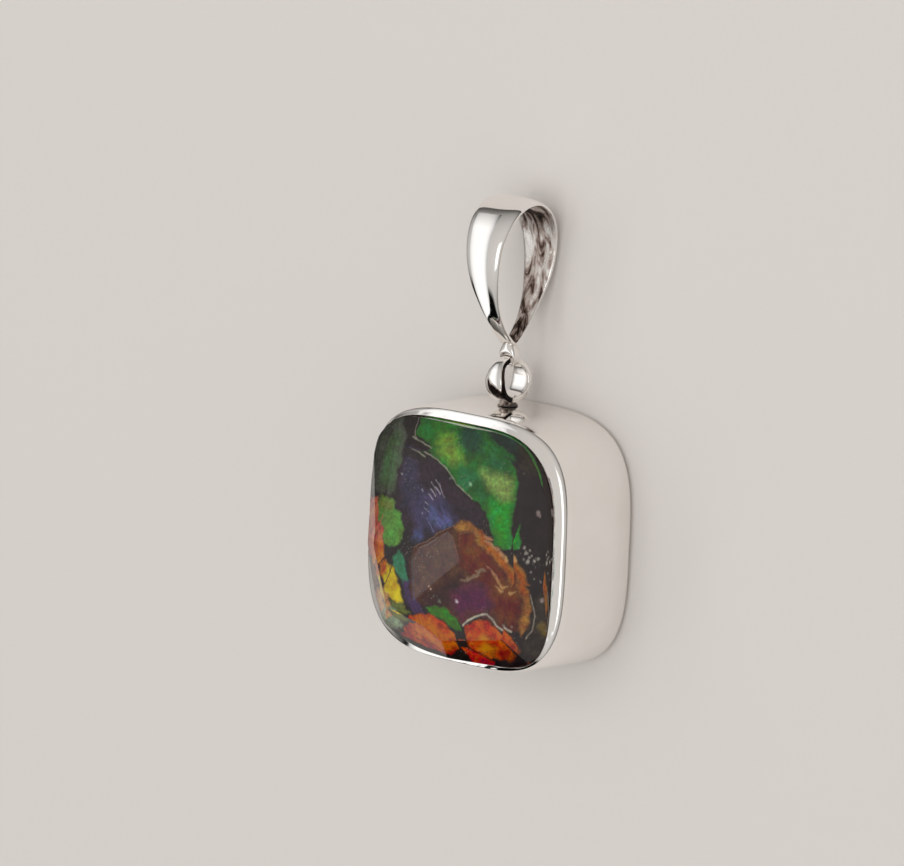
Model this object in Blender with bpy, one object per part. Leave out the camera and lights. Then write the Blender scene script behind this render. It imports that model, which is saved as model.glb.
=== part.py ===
"""Ammolite pendant lying on its back.

X runs across the stone, Y toward the bail and Z out of the stone's face. The origin is the centre
of the setting's flat back. Lengths below are in millimetres.
"""

import math

import bmesh
import bpy
from mathutils import Vector

MM = 0.001
AROUND = 80

# Setting: a deep polished box, closed at the back, its lip turned in over the stone's girdle.
BOX_WIDTH = 16.2
BOX_LENGTH = 15.56
BOX_DEPTH = 6.3
BOX_SQUARENESS = 3.5
BOX_SWELL = 0.13
BACK_RADIUS = 0.6
LIP_RADIUS = 0.18
LIP_THICKNESS = 0.3
FLOOR_THICKNESS = 0.8
GAP = 0.03

# Stone: hand-cut cushion, with two corners squarer than the other two.
STONE_WIDTH = 14.46
STONE_LENGTH = 14.4
STONE_SHIFT = -0.1
STONE_SQUARENESS = 4.1
CORNER_SKEW = 0.8
LIP_OVERLAP = 0.12
AMMOLITE_DROP = 0.95

# Crown facets: azimuth in degrees, slope in degrees, height over the lip on the stone's axis.
CROWN_FACETS = (
    (-116.0, 2.9, 2.20),
    (7.0, 7.8, 2.43),
    (-67.0, 9.5, 2.44),
    (-161.0, 10.3, 2.57),
    (169.0, 6.4, 2.31),
    (142.0, 6.3, 2.25),
    (58.0, 13.0, 2.52),
    (-112.0, 13.0, 3.00),
)
# Girdle facets: azimuth, slope, distance from the axis and height over the lip of one point.
GIRDLE_FACETS = (
    (6.0, 34.0, 5.9, 1.45),
    (-24.0, 34.0, 6.3, 1.40),
    (-50.0, 33.0, 7.3, 1.30),
    (-77.0, 35.0, 5.95, 1.50),
    (-106.0, 34.0, 5.95, 1.48),
    (-136.0, 33.0, 7.0, 1.33),
    (-161.0, 34.0, 6.0, 1.50),
    (177.0, 34.0, 5.75, 1.60),
    (165.0, 23.0, 6.0, 1.38),
    (128.0, 33.0, 7.4, 1.20),
    (98.0, 34.0, 5.9, 1.48),
    (70.0, 34.0, 6.1, 1.40),
    (42.0, 33.0, 7.0, 1.30),
)

# Ring: a band on edge, soldered to the top wall; narrow at its crest, where the bail rides.
RING_LEVEL = 2.78
RING_CENTRE = 9.55
RING_OUTER = 1.48
RING_WALL = 0.42
RING_DOME = 0.14
RING_WIDTHS = (
    (0.0, 0.68), (30.0, 0.72), (45.0, 0.8), (62.0, 1.1), (90.0, 1.45), (125.0, 1.4), (180.0, 1.1),
)
PAD_WIDTH = 1.3
PAD_DEPTH = 1.0

# Bail, measured from the ring's axis: a drop-shaped band over a short neck with an eye in it.
BAIL_START = 1.95
BAIL_END = 11.25
BAIL_FRONT = 3.0
BAIL_REAR = 2.66
BAIL_WALL = 0.4
BAIL_TIP_WALL = 0.32
BAIL_POINT = 0.62
BAIL_WIDTHS = (
    (0.0, 1.0), (0.1, 1.08), (0.2, 1.28), (0.3, 1.58), (0.41, 2.03), (0.52, 2.4), (0.62, 2.65),
    (0.73, 2.88), (0.85, 3.2), (1.0, 3.4),
)
EYE_LOW = 0.70
EYE_HIGH = 2.35
EYE_HALF_WIDTH = 0.64
EYE_HOLE_LOW = 0.92
EYE_HOLE_HIGH = 1.55
EYE_HOLE_HALF_WIDTH = 0.45
EYE_DEPTH_LOW = 0.42
EYE_DEPTH_HIGH = 0.8


def clear_scene():
    for obj in list(bpy.data.objects):
        bpy.data.objects.remove(obj)


def material(name, colour, metallic, roughness, transmission=0.0, ior=1.5):
    made = bpy.data.materials.new(name)
    made.use_nodes = True
    shader = made.node_tree.nodes["Principled BSDF"]
    shader.inputs["Base Color"].default_value = (*colour, 1.0)
    shader.inputs["Metallic"].default_value = metallic
    shader.inputs["Roughness"].default_value = roughness
    shader.inputs["Transmission Weight"].default_value = transmission
    shader.inputs["IOR"].default_value = ior
    return made


def silver(name):
    return material(name, (0.90, 0.89, 0.87), 1.0, 0.08)


def ammolite():
    return material("ammolite", (0.16, 0.14, 0.09), 0.0, 0.35)


def clear_quartz():
    return material("clear_quartz", (1.0, 1.0, 1.0), 0.0, 0.02, 1.0, 1.544)


def finish(mesh, name, slot, smooth_below=None):
    """Turns a bmesh in millimetres into a named object in metres."""
    bmesh.ops.remove_doubles(mesh, verts=mesh.verts, dist=1e-6)
    if mesh.calc_volume(signed=True) < 0:
        bmesh.ops.reverse_faces(mesh, faces=mesh.faces)
    bmesh.ops.scale(mesh, vec=(MM, MM, MM), verts=mesh.verts)
    data = bpy.data.meshes.new(name)
    mesh.to_mesh(data)
    mesh.free()
    data.materials.append(slot)
    if smooth_below is not None:
        data.shade_smooth()
        data.set_sharp_from_angle(angle=math.radians(smooth_below))
    obj = bpy.data.objects.new(name, data)
    bpy.context.scene.collection.objects.link(obj)
    return obj


def cushion(width, length, squareness, skew=0.0, inset=0.0):
    """Points of a cushion outline, moved inward by inset along its own normals."""
    rim = []
    for step in range(AROUND):
        turn = 2 * math.pi * step / AROUND
        power = squareness - skew * math.sin(2 * turn)
        across = abs(2 * math.cos(turn) / width) ** power
        along = abs(2 * math.sin(turn) / length) ** power
        reach = (across + along) ** (-1 / power)
        rim.append(Vector((reach * math.cos(turn), reach * math.sin(turn), 0.0)))
    moved = []
    for step, point in enumerate(rim):
        tangent = rim[(step + 1) % AROUND] - rim[step - 1]
        outward = Vector((tangent.y, -tangent.x, 0.0)).normalized()
        moved.append(point - inset * outward)
    return moved


def box_outline(inset):
    return cushion(BOX_WIDTH, BOX_LENGTH, BOX_SQUARENESS, inset=inset)


def stone_outline(inset):
    outline = cushion(STONE_WIDTH, STONE_LENGTH, STONE_SQUARENESS, CORNER_SKEW, inset)
    return [point + Vector((0.0, STONE_SHIFT, 0.0)) for point in outline]


def lofted(rings):
    """A closed solid through rings of equal count; the first and last are capped."""
    mesh = bmesh.new()
    rows = [[mesh.verts.new(point) for point in ring] for ring in rings]
    count = len(rows[0])
    for low, high in zip(rows, rows[1:]):
        for step in range(count):
            after = (step + 1) % count
            mesh.faces.new((low[step], low[after], high[after], high[step]))
    mesh.faces.new(rows[0][::-1])
    mesh.faces.new(rows[-1])
    return mesh


def closed_loop(sections):
    """A solid through sections that follow one another round a closed loop."""
    mesh = bmesh.new()
    rows = [[mesh.verts.new(point) for point in section] for section in sections]
    count = len(rows[0])
    for row, following in zip(rows, rows[1:] + rows[:1]):
        for step in range(count):
            after = (step + 1) % count
            mesh.faces.new((row[step], row[after], following[after], following[step]))
    return mesh


def at_height(ring, height):
    return [Vector((point.x, point.y, height)) for point in ring]


def wall_swell(height):
    """How far the side wall stands out at a height: most at the back, none at the lip."""
    share = (height - BACK_RADIUS) / (BOX_DEPTH - BACK_RADIUS)
    return BOX_SWELL * (1 - share**2)


def make_setting():
    rings = []
    for step in range(5):
        turn = math.radians(90 * step / 4)
        inset = BACK_RADIUS * (1 - math.sin(turn)) - BOX_SWELL
        height = BACK_RADIUS * (1 - math.cos(turn))
        rings.append(at_height(box_outline(inset), height))
    for height in (2.2, 3.8, 5.1, BOX_DEPTH - LIP_RADIUS):
        rings.append(at_height(box_outline(-wall_swell(height)), height))
    for step in (1, 2, 3):
        turn = math.radians(30 * step)
        inset = LIP_RADIUS * (1 - math.cos(turn))
        height = BOX_DEPTH - LIP_RADIUS * (1 - math.sin(turn))
        rings.append(at_height(box_outline(inset), height))
    wide = -(LIP_OVERLAP + GAP)
    rings.append(at_height(stone_outline(-0.08), BOX_DEPTH))
    rings.append(at_height(stone_outline(-GAP), BOX_DEPTH - 0.08))
    rings.append(at_height(stone_outline(-GAP), BOX_DEPTH - LIP_THICKNESS))
    rings.append(at_height(stone_outline(wide), BOX_DEPTH - LIP_THICKNESS - LIP_OVERLAP))
    rings.append(at_height(stone_outline(wide), FLOOR_THICKNESS))
    return finish(lofted(rings), "setting", silver("polished_silver"), 40)


def make_slab():
    bottom = FLOOR_THICKNESS + GAP
    rings = [
        at_height(stone_outline(0.15 - LIP_OVERLAP), bottom),
        at_height(stone_outline(-LIP_OVERLAP), bottom + 0.15),
        at_height(stone_outline(-LIP_OVERLAP), BOX_DEPTH - AMMOLITE_DROP - GAP),
    ]
    return finish(lofted(rings), "ammolite_slab", ammolite(), 40)


def facet_plane(azimuth, slope, axis_height):
    """A point on the facet and its outward normal."""
    turn = math.radians(azimuth)
    tilt = math.radians(slope)
    normal = (math.sin(tilt) * math.cos(turn), math.sin(tilt) * math.sin(turn), math.cos(tilt))
    return Vector((0.0, 0.0, BOX_DEPTH + axis_height)), Vector(normal)


def crown_planes():
    planes = [facet_plane(*row) for row in CROWN_FACETS]
    for azimuth, slope, distance, height in GIRDLE_FACETS:
        axis_height = height + distance * math.tan(math.radians(slope))
        planes.append(facet_plane(azimuth, slope, axis_height))
    return planes


def make_cap():
    shoulder = BOX_DEPTH - LIP_THICKNESS - LIP_OVERLAP - GAP
    mesh = lofted([
        at_height(stone_outline(-LIP_OVERLAP), BOX_DEPTH - AMMOLITE_DROP),
        at_height(stone_outline(-LIP_OVERLAP), shoulder),
        at_height(stone_outline(0.0), shoulder + LIP_OVERLAP),
        at_height(stone_outline(0.0), BOX_DEPTH + 4.0),
    ])
    for point, normal in crown_planes():
        parts = mesh.verts[:] + mesh.edges[:] + mesh.faces[:]
        cut = bmesh.ops.bisect_plane(
            mesh, geom=parts, dist=1e-5, plane_co=point, plane_no=normal, clear_outer=True
        )
        rim = [part for part in cut["geom_cut"] if isinstance(part, bmesh.types.BMEdge)]
        bmesh.ops.contextual_create(mesh, geom=rim)
    return finish(mesh, "crystal_cap", clear_quartz())


def between(table, place):
    """Straight-line reading of a table of (place, value)."""
    for (low, first), (high, second) in zip(table, table[1:]):
        if place <= high:
            return first + (second - first) * (place - low) / (high - low)
    return table[-1][1]


def joined(body, addition):
    """Makes addition one solid with body."""
    modifier = body.modifiers.new("join", "BOOLEAN")
    modifier.operation = "UNION"
    modifier.solver = "EXACT"
    modifier.object = addition
    graph = bpy.context.evaluated_depsgraph_get()
    merged = bpy.data.meshes.new_from_object(body.evaluated_get(graph), depsgraph=graph)
    body.modifiers.remove(modifier)
    merged.name = body.name
    body.data = merged
    bpy.data.objects.remove(addition)
    merged.shade_smooth()
    merged.set_sharp_from_angle(angle=math.radians(50))


def ring_sections():
    """Sections of the band, round a loop that stands in the YZ plane."""
    for place in range(40):
        turn = 2 * math.pi * place / 40
        out = Vector((0.0, math.cos(turn), math.sin(turn)))
        from_crest = min(math.degrees(turn), 360.0 - math.degrees(turn))
        half = 0.5 * between(RING_WIDTHS, from_crest)
        inner = RING_OUTER - RING_WALL
        edge = RING_OUTER - RING_DOME
        profile = (
            (-0.86, inner), (-1.0, inner + 0.08), (-1.0, edge - 0.06), (-0.84, edge + 0.4 * RING_DOME),
            (-0.45, edge + 0.88 * RING_DOME), (0.0, RING_OUTER), (0.45, edge + 0.88 * RING_DOME),
            (0.84, edge + 0.4 * RING_DOME), (1.0, edge - 0.06), (1.0, inner + 0.08), (0.86, inner),
        )
        yield [out * reach + Vector((half * across, 0.0, 0.0)) for across, reach in profile]


def ring_pad():
    """The solder foot: a short stub that flares onto the wall."""
    wall = BOX_LENGTH / 2 + wall_swell(RING_LEVEL) + GAP - RING_CENTRE
    top = 0.2 - RING_OUTER
    rings = []
    for along, share in ((wall, 1.0), (wall + 0.08, 0.9), (0.5 * (wall + top), 0.76), (top, 0.7)):
        ring = []
        for step in range(20):
            turn = 2 * math.pi * step / 20
            across = 0.5 * PAD_WIDTH * share * math.cos(turn)
            ring.append(Vector((across, along, -0.5 * PAD_DEPTH * share * math.sin(turn))))
        rings.append(ring)
    return rings


def make_ring():
    metal = silver("ring_silver")
    ring = finish(closed_loop(list(ring_sections())), "bail_ring", metal, 50)
    pad = finish(lofted(ring_pad()), "ring_pad", metal, 50)
    joined(ring, pad)
    ring.location = Vector((0.0, RING_CENTRE, RING_LEVEL)) * MM
    return ring


def eye_outline(turn, low, high, half_width, point):
    """A point on the eye's edge, seen from the front: round above, drawn to a tip below."""
    middle = 0.5 * (low + high)
    across = half_width * math.sin(turn) * (1.0 - point * 0.5 * (1.0 + math.cos(turn)))
    return across, middle - 0.5 * (high - low) * math.cos(turn)


def eye_sections():
    """The eye's loop lies in the XY plane, and the ring's crest passes through it."""
    profile = (
        (0.0, -0.75), (0.2, -1.0), (0.8, -0.9), (1.0, -0.55),
        (1.0, 0.55), (0.8, 0.9), (0.2, 1.0), (0.0, 0.75),
    )
    for place in range(28):
        turn = 2 * math.pi * place / 28
        inner = eye_outline(turn, EYE_HOLE_LOW, EYE_HOLE_HIGH, EYE_HOLE_HALF_WIDTH * 1.12, 0.0)
        outer = eye_outline(turn, EYE_LOW, EYE_HIGH, EYE_HALF_WIDTH, 0.12)
        near = Vector((*inner, 0.0))
        far = Vector((*outer, 0.0))
        share = 0.5 - 0.5 * math.cos(turn)
        half = 0.5 * (EYE_DEPTH_LOW + (EYE_DEPTH_HIGH - EYE_DEPTH_LOW) * share)
        section = []
        for lift, side in profile:
            section.append(near.lerp(far, lift) + Vector((0.0, 0.0, half * side)))
        yield section


def teardrop(turn, start, end, inset):
    """A point on a drop-shaped loop in the YZ plane, its tip at the lower end."""
    along = start + (end - start) * (1 - math.cos(turn)) / 2
    widest = 2 * math.atan(math.sqrt(1 + BAIL_POINT))
    fullest = math.sin(widest) * math.sin(widest / 2) ** BAIL_POINT
    reach = (BAIL_FRONT if turn < math.pi else BAIL_REAR) - inset
    return along, reach * math.sin(turn) * abs(math.sin(turn / 2)) ** BAIL_POINT / fullest


def bail_sections():
    profile = (
        (-1.0, 0.0), (-1.0, 0.6), (-0.82, 0.78), (-0.5, 0.93), (0.0, 1.0),
        (0.5, 0.93), (0.82, 0.78), (1.0, 0.6), (1.0, 0.0),
    )
    inner_end = BAIL_END - BAIL_WALL
    for place in range(56):
        turn = 2 * math.pi * place / 56
        outer = teardrop(turn, BAIL_START, BAIL_END, 0.0)
        inner = teardrop(turn, BAIL_START + BAIL_TIP_WALL, inner_end, BAIL_WALL)
        low = Vector((0.0, *inner))
        high = Vector((0.0, *outer))
        share = (outer[0] - BAIL_START) / (BAIL_END - BAIL_START)
        half = 0.5 * between(BAIL_WIDTHS, share)
        yield [low.lerp(high, lift) + Vector((half * across, 0.0, 0.0)) for across, lift in profile]


def make_bail():
    metal = silver("bail_silver")
    bail = finish(closed_loop(list(bail_sections())), "bail", metal, 50)
    eye = finish(closed_loop(list(eye_sections())), "bail_eye", metal, 50)
    joined(bail, eye)
    axis = bpy.data.objects.new("bail_swing_axis", None)
    axis.location = Vector((0.0, RING_CENTRE, RING_LEVEL)) * MM
    axis.empty_display_size = 0.004
    bpy.context.scene.collection.objects.link(axis)
    bail.parent = axis
    return bail


def main():
    clear_scene()
    make_setting()
    make_slab()
    make_cap()
    make_ring()
    make_bail()


main()
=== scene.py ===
# %% [markdown]
# # Ammolite pendant in a silver box setting
# The pendant lies on its back. X runs across the stone, Y toward the bail and Z out of the stone.
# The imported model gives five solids: setting, ring, bail, ammolite slab and clear cap. This lesson
# dresses them: the silver gets finer pieces with soft edges, the cap keeps its cut facets, and the
# ammolite gets its mosaic of colours. The frame comes first, because every piece is placed by it.

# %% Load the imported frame
import math

import bmesh
import bpy
import numpy as np
from mathutils import Matrix, Vector, noise


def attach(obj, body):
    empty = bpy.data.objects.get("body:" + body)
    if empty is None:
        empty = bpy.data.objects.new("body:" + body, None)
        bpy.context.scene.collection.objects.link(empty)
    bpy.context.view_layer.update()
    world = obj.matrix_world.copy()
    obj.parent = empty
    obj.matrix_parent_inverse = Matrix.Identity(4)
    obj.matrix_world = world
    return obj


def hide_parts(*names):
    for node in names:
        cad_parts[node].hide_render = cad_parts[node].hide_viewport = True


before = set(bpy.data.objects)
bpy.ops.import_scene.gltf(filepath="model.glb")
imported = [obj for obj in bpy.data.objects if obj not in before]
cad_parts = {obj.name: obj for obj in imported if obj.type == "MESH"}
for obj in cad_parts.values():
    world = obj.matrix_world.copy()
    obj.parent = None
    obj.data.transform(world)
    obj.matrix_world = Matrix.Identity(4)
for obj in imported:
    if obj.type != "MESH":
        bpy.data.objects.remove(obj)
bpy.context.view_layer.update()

MM = 0.001
print("nodes:", ", ".join(sorted(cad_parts)))

# %% [markdown]
# ## Camera
# The photograph was taken with a long lens from the right of the stone and well above it, so the
# picture has almost no perspective. Three directions describe the view: picture right, picture up
# and toward the camera. They could be reached by turning a camera by hand, but a rotation matrix
# whose columns are these three directions puts it there at once.

# %% Camera
TO_RIGHT = Vector((0.739, 0.042, -0.673)).normalized()
TO_CAMERA = Vector((0.656, 0.183, 0.732)).normalized()
TO_RIGHT = (TO_RIGHT - TO_RIGHT.dot(TO_CAMERA) * TO_CAMERA).normalized()
TO_UP = TO_CAMERA.cross(TO_RIGHT)
CAMERA_DISTANCE = 663 * MM
FOCAL_LENGTH, SENSOR_WIDTH = 435, 36
AIM = Vector((0, 0, 6.3)) * MM - 0.68 * MM * TO_RIGHT + 6.46 * MM * TO_UP

lens = bpy.data.cameras.new("camera")
lens.lens = FOCAL_LENGTH
lens.sensor_width = SENSOR_WIDTH
lens.clip_start = 50 * MM
camera = bpy.data.objects.new("camera", lens)
turned = Matrix((TO_RIGHT, TO_UP, TO_CAMERA)).transposed().to_4x4()
camera.matrix_world = Matrix.Translation(AIM + CAMERA_DISTANCE * TO_CAMERA) @ turned
bpy.context.scene.collection.objects.link(camera)
bpy.context.scene.camera = camera
print("frame width at the stone:", round(SENSOR_WIDTH * CAMERA_DISTANCE / FOCAL_LENGTH / MM, 1), "mm")

# %% [markdown]
# ## Colours and nodes
# Colours are read as sRGB hex values, but shaders reckon in linear light, so one function turns
# them. A finish could be wired by hand in the shader editor. One small function that adds a node with
# its settings, values and links keeps each finish to a few lines that can be read in order.

# %% Colours and nodes
def linear(hex_colour):
    """An sRGB hex colour as the linear RGBA that shaders take."""
    parts = [int(hex_colour[place:place + 2], 16) / 255 for place in (0, 2, 4)]
    parts = [v / 12.92 if v <= 0.04045 else ((v + 0.055) / 1.055) ** 2.4 for v in parts]
    return (*parts, 1.0)


def add(tree, kind, settings=None, numbered=None, stops=(), **named):
    """Adds a node with its settings; an input gets a value, or a link where a socket is given.

    Inputs go by name, or by number where names repeat; stops are a colour ramp's (place, colour).
    """
    node = tree.nodes.new(kind)
    for key, value in (settings or {}).items():
        setattr(node, key, value)
    named = {key.replace("_", " "): value for key, value in named.items()}
    for key, value in {**(numbered or {}), **named}.items():
        if isinstance(value, bpy.types.NodeSocket):
            tree.links.new(value, node.inputs[key])
        else:
            node.inputs[key].default_value = value
    for number, (position, tint) in enumerate(stops):
        elements = node.color_ramp.elements
        stop = elements[number] if number < 2 else elements.new(position)
        stop.position = position
        stop.color = linear(tint)
    return node


print("middle grey in linear light:", round(linear("808080")[0], 3))

# %% [markdown]
# ## Room
# Polished silver shows what stands round it, so a silver piece is lit by what it reflects. The room
# is pale overhead and darker toward the horizon, and a doorway in front and to the left is almost
# black, for the dark streaks in the silver. A picture of a room could be wrapped round the scene,
# but two ramps over the direction of view are easier to match to the silver's tones.

# %% Room
DOORWAY = Vector((-0.50, -0.86, 0.10)).normalized()
room = bpy.data.worlds.new("room")
room.use_nodes = True
tree = room.node_tree
seen = add(tree, "ShaderNodeTexCoord").outputs["Generated"]
height = add(tree, "ShaderNodeSeparateXYZ", Vector=seen).outputs["Z"]
glow = add(tree, "ShaderNodeValToRGB", Fac=height, stops=(
    (0.0, "4a4846"), (0.10, "6a6866"), (0.24, "979592"), (0.60, "bdbab7"), (1.0, "d2cfcb"),
)).outputs["Color"]
nearness = add(tree, "ShaderNodeVectorMath", {"operation": "DOT_PRODUCT"}, {0: seen, 1: DOORWAY})
shade = add(tree, "ShaderNodeValToRGB", Fac=nearness.outputs["Value"], stops=(
    (0.80, "ffffff"), (0.87, "0c0b0b"),
)).outputs["Color"]
dimmed = add(
    tree, "ShaderNodeMix", {"data_type": "RGBA", "blend_type": "MULTIPLY"}, {0: 1.0, 6: glow, 7: shade},
).outputs[2]
tree.links.new(dimmed, tree.nodes["Background"].inputs["Color"])
bpy.context.scene.world = room
bpy.context.scene.view_settings.view_transform = "Standard"
print("doorway seen toward", tuple(round(part, 2) for part in DOORWAY))

# %% [markdown]
# ## Floor
# The pendant lies on plain matt paper, which gives the eye an even, warm white without a shine. The
# paper could be swept up behind as a backdrop, but the camera looks down, so one flat sheet is enough.

# %% Floor
FLOOR_REACH = 1.2
mesh = bmesh.new()
bmesh.ops.create_grid(mesh, x_segments=1, y_segments=1, size=FLOOR_REACH)
floor_data = bpy.data.meshes.new("floor")
mesh.to_mesh(floor_data)
mesh.free()
floor = bpy.data.objects.new("floor", floor_data)
bpy.context.scene.collection.objects.link(floor)
paper = bpy.data.materials.new("matt_paper")
paper.use_nodes = True
paper.node_tree.nodes["Principled BSDF"].inputs["Base Color"].default_value = linear("ebe6e2")
paper.node_tree.nodes["Principled BSDF"].inputs["Roughness"].default_value = 0.9
floor_data.materials.append(paper)
print("floor:", 2 * FLOOR_REACH, "m square")

# %% [markdown]
# ## Sheets of light
# The long white streaks in the silver are bright parts of the room, mirrored. Lamps would show as
# hard points and flat panels as straight bars. A bent sheet whose light fades toward its edges gives
# each streak its own shape, and it is laid where the camera sees it in the silver: one arch for the
# bail's front strand, and one sheet overhead for the lip.

# %% Sheets of light
SHEET_DISTANCE = 450 * MM
ARCH_MIDDLE, ARCH_UPWARD, ARCH_DOWNWARD, ARCH_SLANT = 4, 40, 33, 9
ARCH_HALF_WIDTH = 0.13

# A plain white glow, as strong as the sheet's own shine attribute says.
glowing = bpy.data.materials.new("glowing_sheet")
glowing.use_nodes = True
shine = add(glowing.node_tree, "ShaderNodeAttribute", {"attribute_name": "shine"}).outputs["Fac"]
light = add(glowing.node_tree, "ShaderNodeEmission", Strength=shine).outputs[0]
glowing.node_tree.links.new(light, glowing.node_tree.nodes["Material Output"].inputs["Surface"])


def sheet(name, seen_at, shine_at):
    """A bent sheet of light: where it is seen and how it shines, each for u and v from -1 to 1."""
    mesh = bmesh.new()
    bmesh.ops.create_grid(mesh, x_segments=16, y_segments=32, size=1.0)
    strength = mesh.verts.layers.float.new("shine")
    for vert in mesh.verts:
        u, v = vert.co.x, vert.co.y
        vert[strength] = shine_at(u, v)
        vert.co = AIM + SHEET_DISTANCE * seen_at(u, v).normalized()
    data = bpy.data.meshes.new(name)
    mesh.to_mesh(data)
    mesh.free()
    data.materials.append(glowing)
    made = bpy.data.objects.new(name, data)
    # The silver mirrors the sheet, but no camera sees it, so it hides the pendant from no side.
    made.visible_camera = False
    bpy.context.scene.collection.objects.link(made)
    print(name, len(data.vertices), "vertices")


def mirrored(lean):
    """The direction that the camera sees in polished silver that leans from Z toward Y."""
    normal = Vector((0, math.sin(lean), math.cos(lean)))
    return 2 * normal.dot(TO_CAMERA) * normal - TO_CAMERA


def arch_at(u, v):
    """The arc of the room that the bail's front strand mirrors; its lower end is cut slantwise."""
    lean = math.radians(ARCH_MIDDLE + (ARCH_UPWARD if v > 0 else ARCH_DOWNWARD - ARCH_SLANT * u) * v)
    here = mirrored(lean)
    ahead = mirrored(lean + 0.01) - here
    return here + ARCH_HALF_WIDTH * u * ahead.cross(here).normalized()


def arch_shine(u, v):
    """Brightest along the arch's middle, and dimmer toward its upper end."""
    return 1.14 - 0.70 * u * u - 0.55 * max(0.0, v - 0.6) / 0.4


def zenith_at(u, v):
    return Vector((0.18 + 0.26 * u, -0.10 + 0.36 * v, 1))


def zenith_shine(u, v):
    """Even in the middle, and fading to a third at the edges."""
    return 0.62 + 1.1 * (1 - u ** 4) * (1 - v ** 4)


sheet("arch", arch_at, arch_shine)
sheet("zenith", zenith_at, zenith_shine)

# %% [markdown]
# ## Soft panels
# Two wide panels light the paper and the stone: a large one overhead, and a weaker one at the right
# that opens up the wall's shadow. Small lamps would throw hard shadows. The silver already has its
# own sheets to mirror, so it doesn't show these panels.

# %% Soft panels
PANEL_DISTANCE = 800 * MM


def panel(name, toward, side, radiance):
    """A square soft panel that faces the pendant from a direction."""
    toward = Vector(toward).normalized()
    upright = Vector((0, 1, 0))
    across = (upright - upright.dot(toward) * toward).normalized()
    lamp = bpy.data.lights.new(name, "AREA")
    lamp.shape = "RECTANGLE"
    lamp.size = lamp.size_y = side
    lamp.energy = radiance * math.pi * side * side
    placed = bpy.data.objects.new(name, lamp)
    facing = Matrix((across, toward.cross(across), toward)).transposed().to_4x4()
    placed.matrix_world = Matrix.Translation(AIM + PANEL_DISTANCE * toward) @ facing
    placed.visible_glossy = False
    bpy.context.scene.collection.objects.link(placed)
    print(name, round(lamp.energy, 2), "W")


panel("ceiling", (0.15, 0.1, 1.0), 0.80, 1.20)
panel("side_fill", (1.0, -0.1, 0.45), 0.70, 0.48)

# %% [markdown]
# ## Polished silver
# The box, ring and bail are sterling silver, cast or bent from sheet and then polished on a wheel.
# That gives the eye a mirror with a faintly warm white, hair-fine wheel marks and, where the wheel
# doesn't reach, a softer and darker grey. The reflection needs no drawing: it comes from a metallic
# shader with low roughness, which wheel marks raise a little.

# %% Polished silver
# Marks per metre along X, Y and Z: about 1 mm, 0.4 mm and 2 mm apart, coarser than real ones to show.
WHEEL_MARKS = (900, 2600, 500)


def polished_silver(name):
    """Sterling silver off the polishing wheel."""
    made = bpy.data.materials.new(name)
    made.use_nodes = True
    tree = made.node_tree
    shader = tree.nodes["Principled BSDF"]
    shader.inputs["Metallic"].default_value = 1.0
    where = add(tree, "ShaderNodeTexCoord").outputs["Object"]
    stretched = add(tree, "ShaderNodeMapping", Vector=where, Scale=WHEEL_MARKS).outputs[0]
    marks = add(tree, "ShaderNodeTexNoise", Vector=stretched, Scale=1.0, Detail=4.0).outputs["Fac"]
    cloud = add(tree, "ShaderNodeTexNoise", Vector=where, Scale=260.0, Detail=3.0).outputs["Fac"]
    rough = add(
        tree, "ShaderNodeMapRange", Value=marks, From_Min=0.35, From_Max=0.75, To_Min=0.035, To_Max=0.10,
    )
    tone = add(tree, "ShaderNodeValToRGB", Fac=cloud, stops=((0.3, "f7f3ef"), (0.7, "fcfaf7")))
    wave = add(tree, "ShaderNodeBump", Height=cloud, Strength=0.06, Distance=0.1 * MM)
    tree.links.new(tone.outputs["Color"], shader.inputs["Base Color"])
    tree.links.new(rough.outputs["Result"], shader.inputs["Roughness"])
    tree.links.new(wave.outputs["Normal"], shader.inputs["Normal"])
    return made


box_silver = polished_silver("polished_sterling_silver")
ring_silver = polished_silver("polished_silver_ring")
bail_silver = polished_silver("polished_silver_bail")
print("silvers:", box_silver.name, ring_silver.name, bail_silver.name)

# %% [markdown]
# ## Where the wheel never reached
# The inside of the bail keeps its forging marks and a brown and black tarnish, with bright streaks
# where the marks stand proud; the lip's inner edge and the solder keep some of it too. On the ring
# the same black is painted: painted shade on its near edge and a painted dark reflection on its band.
# It belongs to the same piece of silver, so it isn't a second material but a second finish, mixed in
# where an attribute of the mesh says so.

# %% Tarnish and painted shade
# The darkest mark is black; only the ring's painted shade and painted dark reflection reach it.
DARKEST_MARK = 1.7
# Forging marks per metre along X, Y and Z: about 0.8 mm, 2.4 mm and 0.9 mm apart.
FORGING_MARKS, FORGING_TURN = (1300, 420, 1100), (0.35, 0.0, 0.5)
BAIL_FOOT, BAIL_TOP = 12 * MM, 20 * MM


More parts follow.
